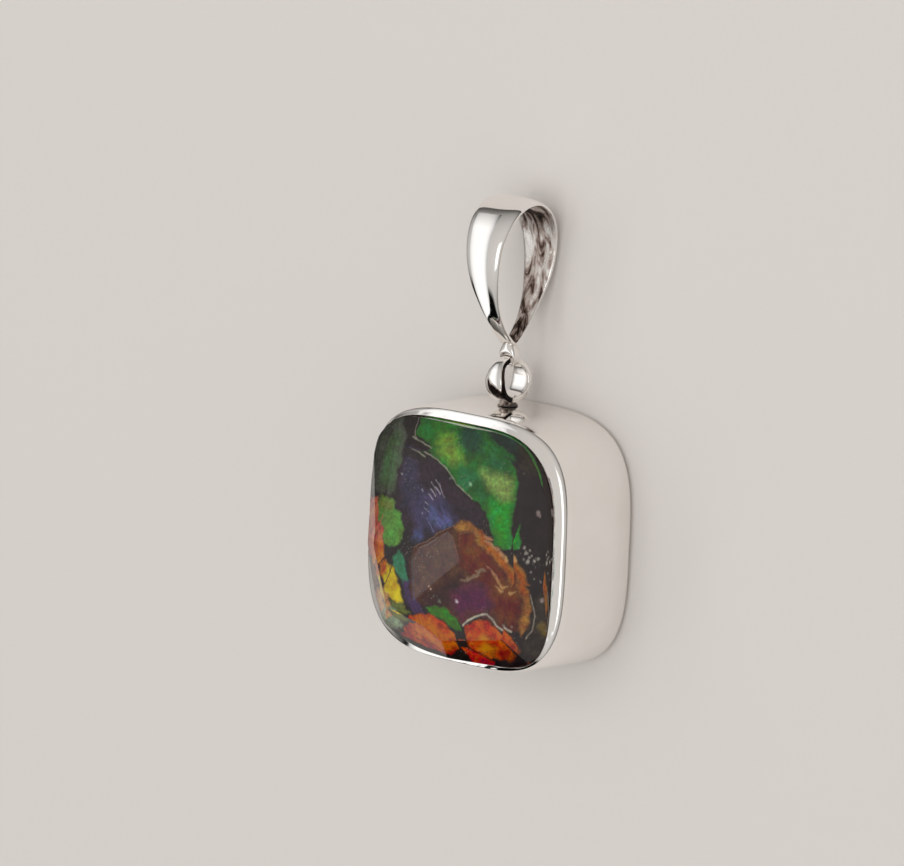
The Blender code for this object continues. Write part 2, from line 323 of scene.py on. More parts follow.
def mix_tarnish_and_shade(material):
    """Mixes dull, streaky tarnish into a silver where the mesh's mark is 1; toward the darkest mark it is
    black, which on the ring is painted shade and painted dark reflection.
    """
    tree = material.node_tree
    shader = tree.nodes["Principled BSDF"]
    where = add(tree, "ShaderNodeTexCoord").outputs["Object"]
    marked = add(tree, "ShaderNodeAttribute", {"attribute_name": "darkening"}).outputs["Fac"]
    blackened = add(tree, "ShaderNodeClamp", Value=marked, Max=DARKEST_MARK).outputs["Result"]
    laid = add(
        tree, "ShaderNodeMapping", Vector=where, Scale=FORGING_MARKS, Rotation=FORGING_TURN,
    ).outputs[0]
    forged = add(
        tree, "ShaderNodeTexNoise", Vector=laid, Scale=1.0, Detail=7.0, Roughness=0.62, Distortion=1.4,
    ).outputs["Fac"]
    # The tarnish is thickest at the ends of the bail's loop, where nothing rubs it away.
    height = add(tree, "ShaderNodeSeparateXYZ", Vector=where).outputs["Y"]
    span = add(tree, "ShaderNodeMapRange", Value=height, From_Min=BAIL_FOOT, From_Max=BAIL_TOP)
    worn = add(tree, "ShaderNodeValToRGB", Fac=span.outputs["Result"], stops=(
        (0.0, "000000"), (0.30, "b0b0b0"), (0.75, "ffffff"), (1.0, "202020"),
    )).outputs["Color"]
    rubbed = add(tree, "ShaderNodeMath", {"operation": "MULTIPLY_ADD"}, {0: worn, 1: 0.19, 2: forged})
    bright = add(
        tree, "ShaderNodeMath", {"operation": "MULTIPLY_ADD"}, {0: blackened, 1: -0.2, 2: rubbed.outputs[0]},
    ).outputs[0]
    # The black end of these stops is also the ring's painted shade and painted dark reflection.
    tint = add(tree, "ShaderNodeValToRGB", Fac=bright, stops=(
        (0.20, "1a1311"), (0.30, "5a483f"), (0.38, "c0aea5"), (0.50, "f6f1ec"),
    )).outputs["Color"]
    dull = add(
        tree, "ShaderNodeMapRange", Value=bright, From_Min=0.2, From_Max=0.55, To_Min=0.55, To_Max=0.20,
    ).outputs["Result"]
    polish = {
        name: shader.inputs[name].links[0].from_socket for name in ("Base Color", "Roughness", "Normal")
    }
    colour = add(tree, "ShaderNodeMix", {"data_type": "RGBA"}, {0: blackened, 6: polish["Base Color"], 7: tint})
    rough = add(tree, "ShaderNodeMix", {"data_type": "FLOAT"}, {0: blackened, 2: polish["Roughness"], 3: dull})
    depth = add(tree, "ShaderNodeMath", {"operation": "MULTIPLY"}, {0: forged, 1: blackened}).outputs[0]
    dents = add(
        tree, "ShaderNodeBump", Height=depth, Normal=polish["Normal"], Strength=0.7, Distance=0.12 * MM,
    )
    tree.links.new(colour.outputs[2], shader.inputs["Base Color"])
    tree.links.new(rough.outputs[0], shader.inputs["Roughness"])
    tree.links.new(dents.outputs["Normal"], shader.inputs["Normal"])
    print(material.name, len(tree.nodes), "nodes")


for silver in (box_silver, ring_silver, bail_silver):
    mix_tarnish_and_shade(silver)

# %% [markdown]
# ## A loop carried along a path
# Most of the silver is a closed loop carried along a path: up the wall of the box, or round the
# ring. It could be drawn face by face, but extruding a loop of edges and laying each new loop on its
# outline keeps the work to one operator. Each vertex remembers its place in the loop and the loop's
# rank, so the new loop knows which point to take, and a finish can be told where it belongs.

# %% Shape helpers
def extruded(rows, closed):
    """A skin through rows of points; its ends are capped, or joined where the path is closed."""
    mesh = bmesh.new()
    place = mesh.verts.layers.int.new("place")
    rank = mesh.verts.layers.int.new("rank")
    circle = bmesh.ops.create_circle(mesh, segments=len(rows[0]), radius=1.0)["verts"]
    for step, vert in enumerate(circle):
        vert[place] = step
        vert.co = rows[0][step]
    first = edges = mesh.edges[:]
    for number, row in enumerate(rows[1:], 1):
        grown = bmesh.ops.extrude_edge_only(mesh, edges=edges)["geom"]
        edges = [part for part in grown if isinstance(part, bmesh.types.BMEdge)]
        for vert in (part for part in grown if isinstance(part, bmesh.types.BMVert)):
            vert.co = row[vert[place]]
            vert[rank] = number
    if closed:
        bmesh.ops.bridge_loops(mesh, edges=first + edges)
    else:
        bmesh.ops.contextual_create(mesh, geom=first)
        bmesh.ops.contextual_create(mesh, geom=edges)
    bmesh.ops.recalc_face_normals(mesh, faces=mesh.faces)
    if mesh.calc_volume(signed=True) < 0:
        bmesh.ops.reverse_faces(mesh, faces=mesh.faces)
    return mesh


def piece(mesh, name, body, finish, smooth_below=40.0, rounds=0):
    """A bmesh in millimetres as a named piece in metres that rides on a body."""
    bmesh.ops.scale(mesh, vec=(MM, MM, MM), verts=mesh.verts)
    data = bpy.data.meshes.new(name)
    mesh.to_mesh(data)
    mesh.free()
    data.materials.append(finish)
    data.shade_smooth()
    data.set_sharp_from_angle(angle=math.radians(smooth_below))
    made = bpy.data.objects.new(name, data)
    bpy.context.scene.collection.objects.link(made)
    if rounds:
        soften = made.modifiers.new("soften", "SUBSURF")
        soften.levels = soften.render_levels = rounds
    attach(made, body)
    print(name, len(data.vertices), "vertices")
    return made


def mark_tarnish_and_shade(made, blackened_at):
    """Marks tarnish where the wheel never reached, and painted shade, by each vertex's place in its loop and
    the loop's rank.
    """
    blackened = made.data.attributes.new("darkening", "FLOAT", "POINT")
    place, rank = (made.data.attributes[layer].data for layer in ("place", "rank"))
    for number, mark in enumerate(blackened.data):
        mark.value = blackened_at(place[number].value, rank[number].value)


# %% [markdown]
# ## Cushion outline
# The box and the stone are rounded squares, flatter than a circle and softer than a box. A cube with
# bevels would have straight sides and corner seams, so both outlines come from one smooth formula, a
# superellipse. The stone's outline is also a little sharper at two opposite corners than at the
# others, as a stone that was cut by hand is.

# %% Cushion outline
AROUND = 288
# Width, length, squareness and skew of each outline, and the stone's shift toward the bail.
BOX = (16.2, 15.56, 3.5, 0.0)
STONE = (14.46, 14.4, 4.1, 0.8)
STONE_SHIFT = -0.1


def reach_of(shape, turn):
    """How far a rounded square reaches from its middle in one direction."""
    width, length, squareness, skew = shape
    power = squareness - skew * math.sin(2 * turn)
    reach = abs(2 * math.cos(turn) / width) ** power + abs(2 * math.sin(turn) / length) ** power
    return reach ** (-1 / power)


def cushion(shape, height, outward=0.0, shift=0.0):
    """Points of a rounded-square outline at a height, moved outward along its own normals."""
    rim = []
    for step in range(AROUND):
        turn = 2 * math.pi * step / AROUND
        reach = reach_of(shape, turn)
        rim.append(Vector((reach * math.cos(turn), reach * math.sin(turn) + shift, height)))
    moved = []
    for step, point in enumerate(rim):
        along = rim[(step + 1) % AROUND] - rim[step - 1]
        moved.append(point + outward * Vector((along.y, -along.x, 0.0)).normalized())
    return moved


print("stone's upper left reach:", round(reach_of(STONE, math.radians(135)), 2), "mm")

# %% [markdown]
# ## Box setting
# The real setting is a deep cup: a floor, a side wall that swells a little toward the back, and a
# thin lip rubbed over the stone's edge. It could be a solid with a hole cut in it, but a cut leaves
# ragged edges. So one outline is carried up the outside, over the rounded lip, whose flat was
# rubbed by hand and waves a little, and down the inside to the stone's seat.

# %% Box setting
BOX_DEPTH, BACK_RADIUS, SWELL, SEAT = 6.3, 0.6, 0.13, 0.8
LIP_DROP, LIP_ROUND = 0.10, 0.34
WALL_HEIGHTS = (1.2, 1.8, 2.4, 3.0, 3.6, 4.2, 4.8, 5.3, 5.6, BOX_DEPTH - LIP_DROP - LIP_ROUND)
LIP_TURNS = (10, 20, 30, 40, 50, 60, 70, 78)
LIP_FLAT = (0.06, 0.3, 0.55, 0.8, 0.94)
RUBBED_DEPTH, RUBBED_SCALE = 0.014, 1.6
# The lip's inner edge: how far below the top each loop lies, and how far out from the stone.
LIP_INSIDE = ((0.0, 0.05), (0.01, 0.035), (0.03, 0.03), (0.30, 0.03), (0.42, 0.15))


def wall_swell(height):
    return SWELL * (1 - ((height - BACK_RADIUS) / (BOX_DEPTH - BACK_RADIUS)) ** 2)


rows = []
for step in range(9):
    turn = math.radians(90 * step / 8)
    outward = SWELL - BACK_RADIUS * (1 - math.sin(turn))
    rows.append(cushion(BOX, BACK_RADIUS * (1 - math.cos(turn)), outward))
for height in WALL_HEIGHTS:
    rows.append(cushion(BOX, height, wall_swell(height)))
outer = cushion(BOX, BOX_DEPTH - LIP_DROP)
inner = cushion(STONE, BOX_DEPTH - 0.005, 0.08, STONE_SHIFT)
for turn in LIP_TURNS:
    fall = Vector((0, 0, LIP_ROUND * (1 - math.sin(math.radians(turn)))))
    row = []
    for a, b in zip(outer, inner):
        # The rounding takes more of the lip's width toward the bail.
        share = (0.5 + 0.3 * max(0.0, a.y / 7.8) ** 2) * (1 - math.cos(math.radians(turn)))
        row.append(a.lerp(Vector((b.x, b.y, a.z)), share) - fall)
    rows.append(row)
rounded = rows[-1]
for share in LIP_FLAT:
    row = [a.lerp(b, share) for a, b in zip(rounded, inner)]
    depth = RUBBED_DEPTH * (1 - (2 * share - 1) ** 4)
    rows.append([point + Vector((0, 0, depth * noise.noise(point * RUBBED_SCALE))) for point in row])
rows.append(inner)
lip_edge = len(rows)
for drop, outward in LIP_INSIDE:
    rows.append(cushion(STONE, BOX_DEPTH - drop, outward, STONE_SHIFT))
rows.append(cushion(STONE, SEAT, LIP_INSIDE[-1][1], STONE_SHIFT))
box_setting = piece(extruded(rows, closed=False), "silver_box", "pendant", box_silver, 35)
mark_tarnish_and_shade(box_setting, lambda place, rank: float(lip_edge <= rank < lip_edge + len(LIP_INSIDE)))
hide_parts("setting")

# %% [markdown]
# ## Clear cap
# Ammolite is soft, so the maker lays a clear crystal cap over it and cuts facets on the cap. The
# packed cap already has every facet in its right place, so it is kept: a copy has its loose
# triangles merged, and flat neighbours are joined into whole facets. Its underside is set a little
# into the slab, as the cement joins them on the real stone; an air gap there would mirror the sides.

# %% Clear cap
CAP_BOTTOM = 5.27
mesh = bmesh.new()
mesh.from_mesh(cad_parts["crystal_cap"].data)
bmesh.ops.scale(mesh, vec=(1 / MM, 1 / MM, 1 / MM), verts=mesh.verts)
bmesh.ops.remove_doubles(mesh, verts=mesh.verts, dist=1e-4)
bmesh.ops.dissolve_limit(mesh, angle_limit=math.radians(0.3), verts=mesh.verts, edges=mesh.edges)
lowest = min(vert.co.z for vert in mesh.verts)
for vert in mesh.verts:
    if vert.co.z < lowest + 0.05:
        vert.co.z = CAP_BOTTOM
print("cap faces:", len(mesh.faces))

# Rock crystal, cut and polished: clear, with crisp facet edges and a barely uneven polish.
quartz = bpy.data.materials.new("clear_rock_crystal")
quartz.use_nodes = True
shader = quartz.node_tree.nodes["Principled BSDF"]
shader.inputs["Transmission Weight"].default_value = 1.0
shader.inputs["IOR"].default_value = 1.544
where = add(quartz.node_tree, "ShaderNodeTexCoord").outputs["Object"]
haze = add(quartz.node_tree, "ShaderNodeTexNoise", Vector=where, Scale=900.0, Detail=3.0).outputs["Fac"]
rough = add(
    quartz.node_tree, "ShaderNodeMapRange", Value=haze, From_Min=0.5, From_Max=0.8, To_Min=0.0, To_Max=0.012,
)
quartz.node_tree.links.new(rough.outputs["Result"], shader.inputs["Roughness"])
crystal = piece(mesh, "crystal_crown", "pendant", quartz, 0.5)
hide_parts("crystal_cap")

# %% [markdown]
# ## Ammolite mosaic
# Ammolite is the fossil shell of an ammonite: thin nacre layers on dark shale, cracked into a
# mosaic. Each fragment keeps its own layer thickness and so its own colour. A picture could be
# mapped on, but painting the plate's own vertices keeps everything in the script: named patches,
# each a closed outline in millimetres, are laid one over another with ragged edges.

# %% Ammolite patches
# Each patch: name, colour, softness of its edge in mm, outline in mm on the plate.
PATCHES = (
    # The first patch's grey is partly painted reflection, the sheen of the cap's facet over it, and partly
    # the nacre's own dull grey-green.
    ("sheen corner", "55594c", 0.30, (
        (-7.6, 1.9), (-6.2, 1.7), (-5.4, 1.9), (-5.3, 3.0), (-5.0, 4.3), (-4.8, 5.2), (-4.5, 7.4),
        (-7.6, 7.4),
    )),
    ("corner green", "527048", 0.60, ((-6.4, 2.3), (-5.5, 2.2), (-5.2, 4.4), (-5.6, 5.2), (-6.3, 4.2))),
    ("dark wedge", "2b241f", 0.20, ((-5.6, 7.2), (-5.5, 5.9), (-4.7, 4.9), (-4.4, 4.9), (-4.4, 7.2))),
    ("green field", "2f7a2c", 0.12, (
        (-4.1, 7.4), (-4.2, 5.2), (-3.3, 4.9), (-2.5, 4.5), (-1.7, 4.1), (-1.1, 3.6), (-0.7, 3.2),
        (-0.1, 2.8), (0.5, 2.5), (1.2, 2.3), (1.8, 1.8), (2.2, 1.0), (2.6, 0.3), (3.2, -0.1),
        (3.9, 0.1), (3.9, 1.2), (3.95, 2.5), (4.1, 3.9), (3.8, 4.7), (3.2, 5.3), (2.4, 5.6), (1.5, 6.1),
        (0.9, 7.4),
    )),
    ("moss stripe", "86b545", 0.70, (
        (-2.2, 5.6), (-1.2, 5.7), (-0.4, 5.0), (-0.2, 4.5), (-1.3, 4.3), (-2.3, 4.8),
    )),
    ("leaf stripe", "3c8f2e", 0.60, ((-3.0, 7.0), (-1.6, 7.0), (-1.2, 6.2), (-2.0, 5.7), (-3.2, 6.0))),
    ("lime middle", "98b862", 0.70, (
        (1.0, 4.3), (2.6, 4.3), (3.6, 4.2), (3.7, 3.0), (3.4, 2.5), (2.2, 3.1), (1.2, 3.6),
    )),
    ("sea green left", "2b7a40", 0.60, ((-0.4, 4.4), (1.4, 3.7), (1.7, 2.7), (0.6, 2.7), (-0.5, 3.3))),
    ("sea green right", "266f3c", 0.70, ((1.6, 5.4), (3.4, 5.2), (3.2, 4.5), (1.8, 4.4))),
    ("upper sea green", "1d4a2e", 0.60, ((-0.6, 6.6), (0.6, 6.3), (1.2, 5.3), (0.2, 5.1), (-0.7, 5.6))),
    ("green tail", "35aa32", 0.50, (
        (1.9, 2.6), (3.6, 2.6), (3.7, 1.4), (3.6, 0.2), (3.0, 0.2), (2.4, 1.1),
    )),
    ("dark top", "20372c", 0.70, (
        (0.7, 7.4), (1.2, 6.2), (2.4, 5.7), (3.6, 5.4), (4.2, 5.9), (3.4, 7.4),
    )),
    ("olive corner", "33291a", 0.60, ((3.5, 5.9), (4.2, 5.0), (5.2, 4.6), (5.0, 5.6), (4.2, 6.3))),
    ("plum field", "33212f", 0.14, (
        (-4.9, 4.3), (-3.0, 4.35), (-1.8, 4.0), (-0.7, 2.8), (0.6, 2.35), (1.6, 1.8), (1.5, 0.9),
        (0.2, 0.7), (-1.0, 0.2), (-2.6, -0.6), (-3.4, -0.9), (-4.2, -0.1), (-5.0, 0.9), (-5.2, 1.8),
        (-5.3, 3.0),
    )),
    ("indigo strip", "3a3550", 0.50, (
        (-4.7, 4.3), (-3.6, 4.2), (-3.2, 2.6), (-3.4, 1.2), (-4.6, 1.2), (-4.9, 2.6),
    )),
    ("violet middle", "4a4368", 0.60, (
        (-3.3, 2.6), (-2.0, 2.4), (-1.0, 1.6), (-0.4, 0.9), (-1.6, 0.2), (-3.2, 0.0), (-3.9, 1.0),
    )),
    ("blue streak", "5d6799", 0.40, (
        (-2.3, 1.6), (-1.7, 1.5), (-0.7, 0.6), (-0.9, 0.3), (-1.8, 0.6), (-2.3, 1.0),
    )),
    ("blue foot", "4a5480", 0.40, (
        (-3.5, -0.1), (-3.0, 0.1), (-2.6, -0.4), (-3.0, -0.7), (-3.5, -0.6),
    )),
    ("brown slab", "5a3224", 0.12, (
        (-3.5, -1.1), (-2.4, -0.55), (-1.0, 0.35), (0.0, 0.85), (0.6, 0.95), (1.6, 0.5), (2.8, -0.2),
        (4.0, -1.2), (4.7, -2.4), (4.8, -3.8), (4.2, -4.8), (3.3, -4.9), (2.0, -4.3), (1.2, -4.5),
        (0.4, -5.1), (-0.6, -4.5), (-2.0, -4.1), (-3.4, -4.3), (-3.6, -2.4),
    )),
    ("rust slab", "77321f", 0.50, (
        (-0.2, 0.3), (1.0, 0.3), (2.6, -0.8), (3.9, -1.9), (4.3, -3.3), (3.6, -4.6), (2.6, -3.6),
        (1.8, -2.1), (0.2, -1.3),
    )),
    ("dark slab", "3c1c1c", 0.60, (
        (-3.2, -4.2), (-2.2, -3.3), (-1.0, -2.5), (0.1, -1.9), (0.2, -2.8), (-0.8, -3.9), (-2.0, -4.2),
    )),
    ("golden rim", "a8703a", 0.22, (
        (-0.6, 0.5), (0.0, 0.85), (0.6, 1.0), (1.4, 0.6), (2.3, 0.25), (3.3, -0.3), (4.2, -1.1),
        (4.9, -2.2), (5.1, -3.3), (4.9, -4.4), (4.3, -5.0), (4.2, -4.2), (4.5, -3.1), (4.2, -2.2),
        (3.5, -1.3), (2.6, -0.6), (1.6, -0.1), (0.6, 0.45), (0.0, 0.3),
    )),
    ("orange rim", "c4702a", 0.45, (
        (1.4, 0.45), (2.5, 0.05), (3.5, -0.6), (4.4, -1.5), (4.7, -2.3), (4.35, -2.2), (3.9, -1.6),
        (3.1, -0.8), (2.2, -0.25),
    )),
    ("pale rim", "d3a878", 0.20, (
        (1.9, 0.38), (2.9, 0.0), (3.7, -0.6), (3.6, -0.75), (2.8, -0.15), (1.9, 0.2),
    )),
    ("purple heart", "64204e", 0.90, (
        (-0.4, -3.2), (0.9, -2.3), (2.2, -2.4), (2.8, -3.3), (2.2, -4.0), (1.0, -4.1), (0.3, -4.7),
        (-0.3, -4.0),
    )),
    ("pale streak left", "9c7f66", 0.14, (
        (0.25, -2.2), (0.7, -2.25), (1.2, -1.95), (2.1, -1.6), (2.0, -1.45), (1.1, -1.75), (0.7, -2.0),
    )),
    ("pale streak right", "b98560", 0.14, (
        (2.1, -1.15), (2.8, -1.55), (3.5, -2.35), (3.9, -2.1), (3.8, -2.4), (3.4, -2.5), (2.6, -1.75),
        (2.1, -1.3),
    )),
    ("lower shale", "1d1512", 0.20, (
        (-5.3, -6.0), (-4.0, -5.9), (-0.6, -6.2), (0.5, -5.6), (0.3, -5.1), (0.9, -5.8), (0.8, -6.4),
        (0.4, -7.6), (-5.5, -7.6),
    )),
    ("orange left", "c84c0a", 0.10, (
        (-4.5, -5.7), (-3.6, -5.05), (-2.8, -4.8), (-2.0, -4.8), (-1.2, -5.05), (-0.5, -5.6),
        (-0.05, -6.1), (-0.6, -6.45), (-1.8, -6.2), (-3.0, -6.15), (-4.2, -6.0),
    )),
    ("orange left glow", "da6c1c", 0.50, (
        (-3.4, -5.3), (-2.2, -5.1), (-1.4, -5.5), (-1.6, -5.9), (-3.0, -5.8),
    )),
    ("red left", "c23116", 0.16, (
        (-5.0, -6.1), (-4.2, -5.95), (-2.9, -6.2), (-1.6, -6.25), (-0.4, -6.45), (-0.7, -6.65),
        (-2.2, -6.65), (-3.6, -6.6), (-4.7, -6.4),
    )),
    ("orange right", "d8540c", 0.16, (
        (0.6, -5.1), (1.2, -4.7), (2.2, -4.45), (2.9, -4.7), (3.5, -5.1), (4.0, -5.7), (4.1, -6.2),
        (3.3, -6.5), (2.3, -6.5), (1.4, -6.2), (0.7, -5.9),
    )),
    ("orange right glow", "c9752c", 0.50, (
        (1.4, -5.9), (2.2, -5.3), (2.9, -5.6), (2.8, -6.3), (1.9, -6.3),
    )),
    ("red right", "a8401c", 0.40, ((3.0, -5.7), (3.6, -5.5), (4.3, -6.0), (4.0, -6.5), (3.1, -6.4))),
    ("red foot", "dd2c12", 0.16, (
        (0.1, -6.0), (0.9, -6.1), (1.6, -6.4), (2.6, -6.8), (2.4, -7.5), (0.8, -7.5), (0.6, -6.5),
    )),
    ("leaf", "3f8a24", 0.14, (
        (-2.6, -4.4), (-1.9, -4.1), (-1.2, -4.05), (-0.7, -4.35), (-0.1, -4.8), (0.25, -5.35),
        (-0.2, -5.45), (-0.9, -5.15), (-1.6, -4.8), (-2.3, -4.75),
    )),
    ("shell pink", "e67f62", 0.20, (
        (-7.6, 1.4), (-6.5, 1.3), (-6.15, 0.9), (-6.05, -1.1), (-6.3, -1.9), (-7.6, -2.1),
    )),
    ("coral edge", "e8803c", 0.25, (
        (-6.7, -1.1), (-6.1, -1.1), (-5.85, -2.0), (-6.2, -2.6), (-6.8, -2.2),
    )),
    ("spring green", "66a045", 0.14, (
        (-6.3, 1.2), (-6.0, 1.6), (-5.4, 1.5), (-5.1, 0.9), (-4.7, 0.7), (-4.35, -0.2), (-4.55, -0.9),
        (-5.4, -1.25), (-6.0, -1.1), (-6.15, 0.0),
    )),
    ("moss top", "7a8a3e", 0.40, ((-6.3, 1.3), (-5.9, 1.6), (-5.3, 1.4), (-5.4, 0.9), (-6.1, 0.7))),
    ("sea leaf", "3f8f68", 0.18, (
        (-5.1, -1.9), (-4.6, -1.3), (-4.2, -1.6), (-3.9, -2.4), (-3.65, -3.2), (-4.1, -3.3),
        (-4.6, -2.8), (-5.1, -2.3),
    )),
    ("amber left", "e2822a", 0.20, (
        (-6.3, -2.5), (-5.7, -2.2), (-5.45, -3.0), (-5.8, -3.5), (-6.3, -3.1),
    )),
    ("yellow", "efd03a", 0.18, (
        (-5.6, -2.3), (-5.0, -2.5), (-4.6, -3.2), (-4.35, -4.0), (-4.1, -4.5), (-4.7, -4.6),
        (-5.3, -4.4), (-5.9, -4.1), (-5.95, -3.2),
    )),
    ("rose shadow", "7a5650", 0.25, (
        (-7.6, -2.2), (-6.6, -2.3), (-6.3, -3.2), (-6.2, -3.9), (-6.8, -4.2), (-7.6, -3.6),
    )),
    ("peach", "dba679", 0.25, (
        (-7.0, -4.3), (-6.1, -3.9), (-5.5, -4.3), (-5.3, -5.0), (-6.0, -5.5), (-6.8, -5.2),
    )),
    ("mint", "93a988", 0.20, (
        (-6.3, -5.5), (-5.4, -5.0), (-4.9, -4.85), (-4.3, -5.4), (-5.1, -6.0), (-6.0, -6.1),
    )),
    ("olive leaf", "6f7a38", 0.20, (
        (-5.3, -4.6), (-4.4, -4.5), (-3.6, -4.9), (-4.3, -5.15), (-5.2, -4.95),
    )),
    ("violet strip", "4a3560", 0.20, (
        (-4.1, -3.1), (-3.6, -3.0), (-3.3, -4.0), (-2.7, -4.8), (-3.3, -4.85), (-4.0, -4.2),
    )),
    ("grey corner", "3a302a", 0.50, (
        (4.6, -5.0), (5.2, -3.6), (5.3, -2.2), (6.6, -2.0), (6.8, -6.2), (5.2, -6.4), (4.6, -5.8),
    )),
    ("olive spot", "7a6030", 0.30, ((5.6, -4.2), (6.4, -3.9), (6.6, -4.8), (5.9, -4.9))),
)

# %% Ammolite cracks
# Cracks between fragments: name, colour, width in mm, points in mm.
CRACKS = (
    ("green edge", "a9ad95", 0.10, (
        (-4.4, 5.0), (-3.6, 4.75), (-2.5, 4.45), (-1.7, 4.05), (-1.1, 3.6), (-0.7, 3.15), (0.0, 2.75),
        (0.6, 2.45),
    )),
    ("corner line", "a8a294", 0.07, ((-4.3, 6.6), (-4.35, 5.6), (-4.25, 5.1), (-3.9, 4.85))),
    ("wave", "c3bcae", 0.17, (
        (0.4, -5.05), (0.8, -4.65), (1.4, -4.35), (1.9, -4.12), (2.35, -4.05), (2.75, -4.3),
        (3.05, -4.6), (3.6, -4.85),
    )),
    ("black branch", "1a120e", 0.13, (
        (-6.5, -2.6), (-5.9, -2.05), (-5.2, -1.6), (-4.6, -1.2), (-4.3, -0.85),
    )),
    ("lower branch", "1a120e", 0.10, ((-6.6, -3.9), (-5.8, -3.6), (-5.4, -2.9), (-5.1, -2.1))),
    ("dash one", "b9b4c4", 0.07, ((-2.31, 3.14), (-2.1, 2.9), (-1.84, 2.61))),
    ("dash two", "aaa6bb", 0.07, ((-2.03, 2.97), (-1.85, 2.6), (-1.55, 2.15))),
    ("dash three", "c9c6d2", 0.07, ((-2.31, 2.66), (-2.1, 2.5), (-1.9, 2.31))),
    ("dash four", "c9c6d2", 0.07, ((-2.44, 2.32), (-2.25, 2.2), (-2.07, 2.06))),
    ("dash five", "b9b4c4", 0.07, ((-2.71, 1.83), (-2.57, 1.78), (-2.44, 1.68))),
    ("dash six", "a39fb5", 0.07, ((-2.76, 1.43), (-2.55, 1.36), (-2.39, 1.25))),
    ("dash seven", "a39fb5", 0.10, ((-3.07, 2.54), (-3.0, 2.47), (-2.95, 2.4))),
    ("dash eight", "7f86b8", 0.08, ((-2.5, 0.9), (-2.2, 0.5), (-1.85, 0.1))),
    ("dash nine", "7f86b8", 0.07, ((-1.9, 1.1), (-1.6, 0.75), (-1.3, 0.5))),
    ("slab line", "8d6a50", 0.07, ((-0.1, 0.1), (0.4, 0.3), (0.9, 0.45), (1.4, 0.3))),
    ("slab edge", "927560", 0.08, ((-3.4, -1.05), (-2.4, -0.6), (-1.4, 0.1), (-0.5, 0.6))),
    ("frost edge", "b0a79a", 0.10, ((5.0, -2.3), (5.2, -3.0), (5.35, -3.8), (5.2, -4.6), (4.7, -5.2))),
)

# %% Ammolite spots
# Small light spots: x, y, radius and colour.
SPOTS = (
    (5.25, 2.45, 0.16, "b9a9a6"), (5.4, 2.3, 0.08, "9a8a88"), (-0.1, -3.6, 0.11, "f0dcec"),
    (-4.85, 3.2, 0.09, "8f8f9a"), (-1.2, 3.4, 0.08, "8a8588"), (-2.9, 1.1, 0.08, "8c88a4"),
    (0.4, 3.3, 0.14, "9fd2a2"), (4.3, 0.2, 0.10, "b7b2a8"), (4.45, -0.1, 0.12, "c6c0b6"),
    (4.7, -0.35, 0.09, "a9a49c"), (4.6, -0.6, 0.13, "bdb7ad"), (4.9, -0.2, 0.08, "a09a92"),
    (5.1, -0.5, 0.09, "b3ada4"), (5.4, -0.3, 0.10, "a39d95"), (4.3, -0.5, 0.08, "8f8a82"),
    (4.75, 0.1, 0.08, "a09a92"), (5.9, -2.6, 0.16, "a89690"), (5.7, -1.7, 0.08, "8a7f7a"),
    (4.9, -1.2, 0.08, "8f857c"), (5.2, -1.6, 0.07, "8f857c"), (-2.2, -3.15, 0.07, "b99a8c"),
    (-1.5, -3.8, 0.12, "8f8f78"), (3.6, -4.5, 0.08, "a58c78"),
)
print("mosaic:", len(PATCHES), "patches,", len(CRACKS), "cracks,", len(SPOTS), "spots")

# %% [markdown]
# ## Ammolite plate
# The real slab is one piece with its shale, level on top and cut to the stone's outline. A disc of
# rings would crowd its vertices in the middle, where they would be wasted, so a square grid is
# eased outward to the outline instead, and its rim is extruded down to the seat.

# %% Ammolite plate
PLATE_TOP, PLATE_FOOT, PLATE_MARGIN, PLATE_GRID = 5.32, 0.83, 0.10, 270
plate_material = bpy.data.materials.new("ammolite_nacre_on_shale")
plate_material.use_nodes = True
mesh = bmesh.new()
bmesh.ops.create_grid(mesh, x_segments=PLATE_GRID, y_segments=PLATE_GRID, size=1.0)
for vert in mesh.verts:
    x, y = vert.co.x, vert.co.y
    turn = math.atan2(y, x)
    square = 1.0 / max(abs(math.cos(turn)), abs(math.sin(turn)))
    share = math.hypot(x, y) / square
    reach = share * (reach_of(STONE, turn) + PLATE_MARGIN)
    vert.co = Vector((reach * math.cos(turn), reach * math.sin(turn) + STONE_SHIFT, PLATE_TOP))
rim = [edge for edge in mesh.edges if edge.is_boundary]
wall = bmesh.ops.extrude_edge_only(mesh, edges=rim)["geom"]
for vert in (part for part in wall if isinstance(part, bmesh.types.BMVert)):
    vert.co.z = PLATE_FOOT
bmesh.ops.contextual_create(mesh, geom=[part for part in wall if isinstance(part, bmesh.types.BMEdge)])
bmesh.ops.recalc_face_normals(mesh, faces=mesh.faces)
slab = piece(mesh, "ammolite_plate", "pendant", plate_material, 40)
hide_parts("ammolite_slab")

# %% [markdown]
# ## Painting the mosaic
# Broken nacre has ragged edges, so each vertex is moved by two noises, one of about half a
# millimetre and one finer, before it is asked on which side of an outline it lies. A brush would
# give the same look by hand; a distance to each outline gives it again on every run.

# %% Painting the mosaic
COARSE_WAVES, FINE_WAVES = 2.3, 7.0
# The noises start from the clock unless they are given a seed; this one keeps every run the same.
NOISE_SEED = 5
SHALE = "271c1f"


def edge_distance(points, outline):
    """Distance of each point from a closed outline, negative inside it."""
    corners = np.array(outline)
    nearest = np.full(len(points), 1e9)
    inside = np.zeros(len(points), bool)
    for a, b in zip(corners, np.roll(corners, -1, axis=0)):
        run = b - a
        share = np.clip(((points - a) @ run) / (run @ run), 0, 1)
        nearest = np.minimum(nearest, np.hypot(*(points - a - share[:, None] * run).T))
        crosses = (a[1] > points[:, 1]) != (b[1] > points[:, 1])
        slope = run[0] / run[1] if run[1] else 0.0
        inside ^= crosses & (points[:, 0] < a[0] + (points[:, 1] - a[1]) * slope)
    return np.where(inside, -nearest, nearest)


def waves(points, per_mm, level):
    """A sideways push at each point, from a noise of so many waves per millimetre."""
    pushed = (noise.noise_vector(Vector((x * per_mm, y * per_mm, level))) for x, y in points)
    return np.array([push[:2] for push in pushed])


